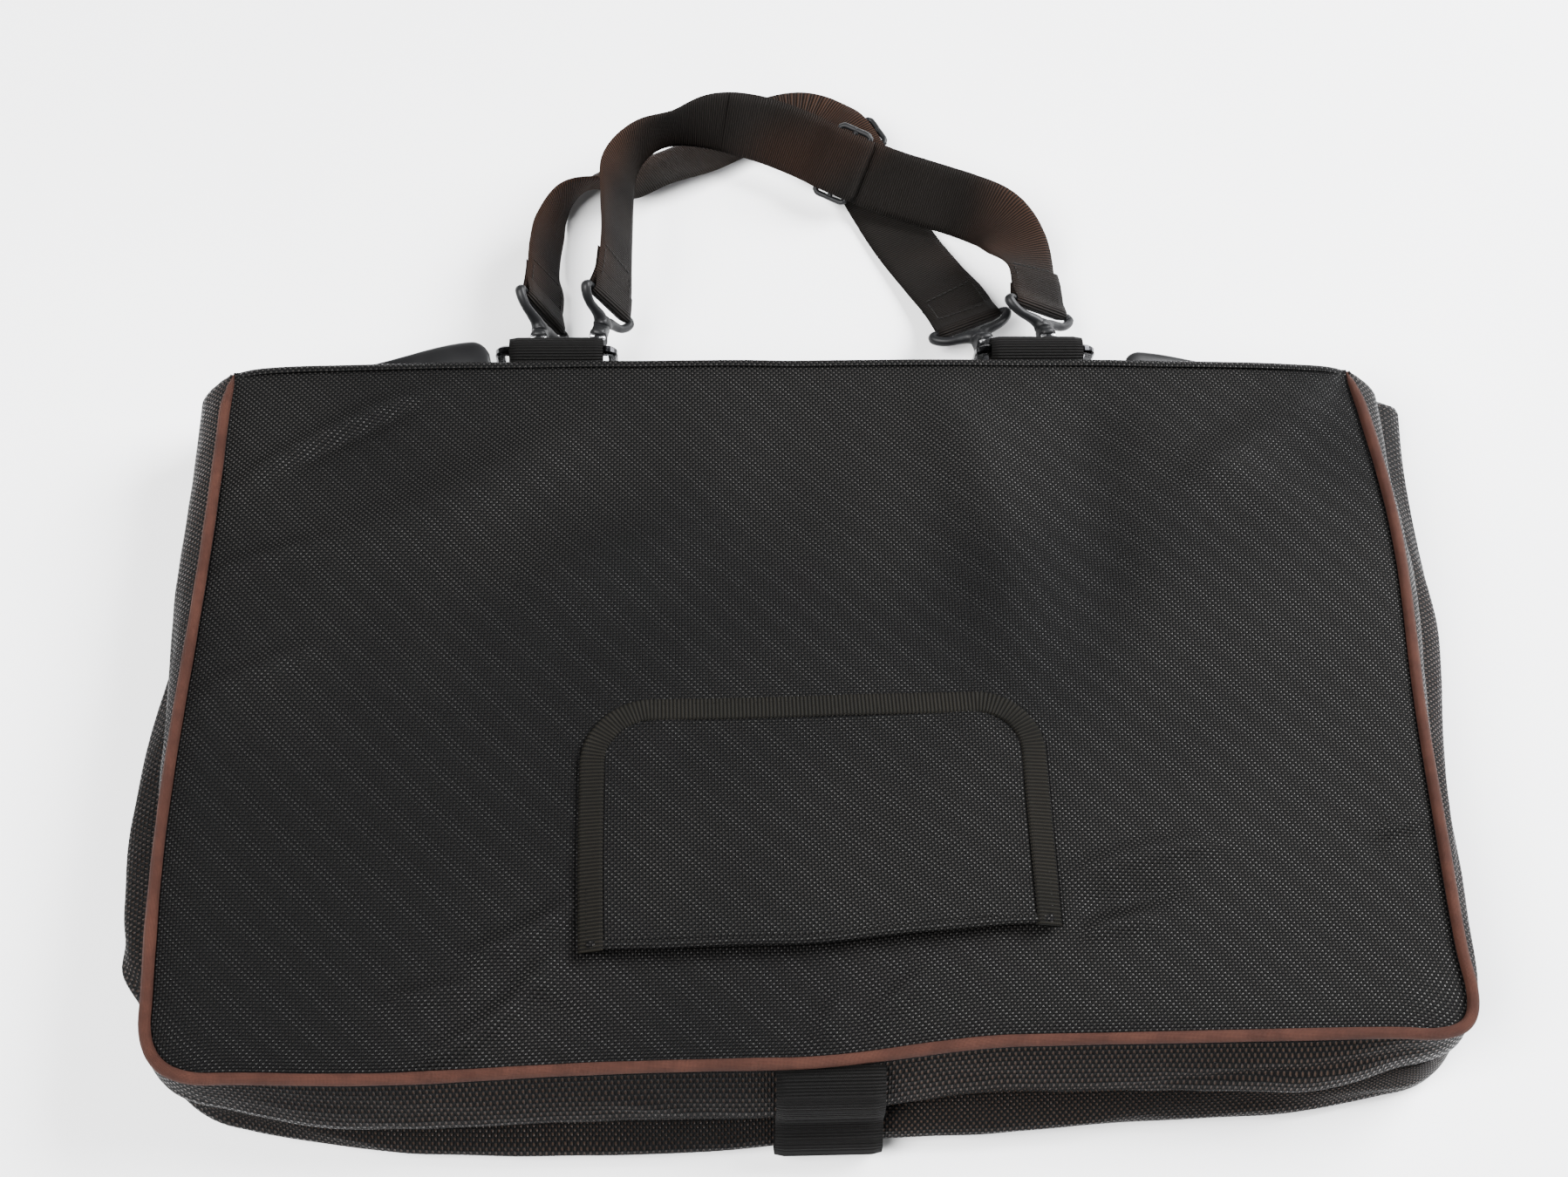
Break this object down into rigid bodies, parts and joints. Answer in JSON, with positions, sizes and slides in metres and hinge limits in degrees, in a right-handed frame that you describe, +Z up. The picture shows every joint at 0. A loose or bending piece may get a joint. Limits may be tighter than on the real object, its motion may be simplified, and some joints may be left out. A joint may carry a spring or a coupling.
{
  "type": "garment bag",
  "caption": "Soft black garment bag folded in half, with brown piping, a patch pocket with an open near edge, and hooked carrying straps at the fold.",
  "frame": {"origin": "centre of the underside of the rear panel, on the surface that the folded bag lies on", "axes": "+X along the fold, +Y from the near end to the fold and the carrying straps, +Z up through both halves"},
  "size_m": [0.652, 0.644, 0.0657],
  "materials": {
    "nylon": "coarse ballistic nylon, matt with small bright glints",
    "lining": "smooth plain-woven lining",
    "foam": "closed-cell foam sheet",
    "piping": "woven brown cover over a cord",
    "webbing": "ribbed nylon webbing, slightly brown where lit",
    "binding": "ribbed binding tape, satin",
    "coated": "smooth satin coated cloth over a stiffener",
    "plastic": "moulded acetal, satin",
    "steel": "plated wire, worn bright",
    "zip_coil": "nylon coil"
  },
  "bodies": {
    "rear_half": {"rear_panel": "nylon", "rear_foam": "foam", "rear_lining": "lining", "rear_gusset": "nylon", "rear_piping": "piping", "rear_seam_binding": "binding", "fold_spine": "nylon", "fold_edge_roll": "nylon", "tab_left": "webbing", "tab_right": "webbing", "fold_guard_left": "coated", "fold_guard_right": "coated", "zip_chain_rear": "zip_coil", "tie_strap_left": "webbing", "tie_strap_right": "webbing", "tie_buckle": "plastic"},
    "front_half": {"front_panel": "nylon", "front_foam": "foam", "front_lining": "lining", "front_gusset": "nylon", "front_piping": "piping", "front_seam_binding": "binding", "zip_chain_front": "zip_coil", "hanger_bracket": "plastic", "pocket_binding": "binding", "pocket_patch": "nylon", "pocket_hem": "nylon", "closure_strap": "webbing"},
    "slider": {"zip_slider": "steel", "zip_pull": "webbing"},
    "ring_left_body": {"ring_left": "steel"},
    "ring_right_body": {"ring_right": "steel"},
    "carry_straps": {"front_strap_webbing": "webbing", "front_strap_adjuster": "plastic", "front_strap_hook_left_body": "plastic", "front_strap_hook_left_frame": "plastic", "front_strap_hook_right_body": "plastic", "front_strap_hook_right_frame": "plastic", "rear_strap_webbing": "webbing", "rear_strap_adjuster": "plastic", "rear_strap_hook_left_body": "plastic", "rear_strap_hook_left_frame": "plastic", "rear_strap_hook_right_body": "plastic", "rear_strap_hook_right_frame": "plastic"},
    "front_strap_hook_left_gate_body": {"front_strap_hook_left_gate": "plastic"},
    "front_strap_hook_right_gate_body": {"front_strap_hook_right_gate": "plastic"},
    "rear_strap_hook_left_gate_body": {"rear_strap_hook_left_gate": "plastic"},
    "rear_strap_hook_right_gate_body": {"rear_strap_hook_right_gate": "plastic"}
  },
  "joints": [
    {"name": "fold_hinge", "type": "hinge", "parent": "rear_half", "child": "front_half", "pos_m": [0, 0.191, 0.058], "axis": [-1, 0, 0], "range_deg": [0, 170]},
    {"name": "ring_left_swing", "type": "hinge", "parent": "rear_half", "child": "ring_left_body", "pos_m": [-0.13, 0.206, 0.0505], "axis": [-1, 0, 0], "range_deg": [-90, 0]},
    {"name": "ring_right_swing", "type": "hinge", "parent": "rear_half", "child": "ring_right_body", "pos_m": [0.13, 0.206, 0.0505], "axis": [-1, 0, 0], "range_deg": [-90, 0]},
    {"name": "strap_pivot", "type": "hinge", "parent": "ring_left_body", "child": "carry_straps", "pos_m": [-0.13, 0.21017, 0.02686], "axis": [-1, 0, 0], "range_deg": [-40, 0]},
    {"name": "zip_slide", "type": "slide", "parent": "rear_half", "child": "slider", "axis": [0, 1, 0], "range_m": [0, 0.3]},
    {"name": "front_strap_hook_left_gate_hinge", "type": "hinge", "parent": "carry_straps", "child": "front_strap_hook_left_gate_body", "pos_m": [-0.10866, 0.2248, 0.03701], "axis": [0.9669, -0.2496, -0.0536], "range_deg": [0, 18], "stiffness_Nm_per_rad": 0.01, "springref_deg": -5.73},
    {"name": "front_strap_hook_right_gate_hinge", "type": "hinge", "parent": "carry_straps", "child": "front_strap_hook_right_gate_body", "pos_m": [0.14148, 0.22709, 0.03375], "axis": [0.996, 0.0894, 0.0002], "range_deg": [0, 18], "stiffness_Nm_per_rad": 0.01, "springref_deg": -5.73},
    {"name": "rear_strap_hook_left_gate_hinge", "type": "hinge", "parent": "carry_straps", "child": "rear_strap_hook_left_gate_body", "pos_m": [-0.14094, 0.22761, 0.03241], "axis": [0.9981, -0.0622, 0.0047], "range_deg": [0, 18], "stiffness_Nm_per_rad": 0.01, "springref_deg": -5.73},
    {"name": "rear_strap_hook_right_gate_hinge", "type": "hinge", "parent": "carry_straps", "child": "rear_strap_hook_right_gate_body", "pos_m": [0.10787, 0.22761, 0.02918], "axis": [0.9533, 0.2913, -0.0799], "range_deg": [0, 18], "stiffness_Nm_per_rad": 0.01, "springref_deg": -5.73}
  ],
  "couplings": [
    {"joint": "ring_right_swing", "follows": "ring_left_swing", "ratio": 1}
  ]
}
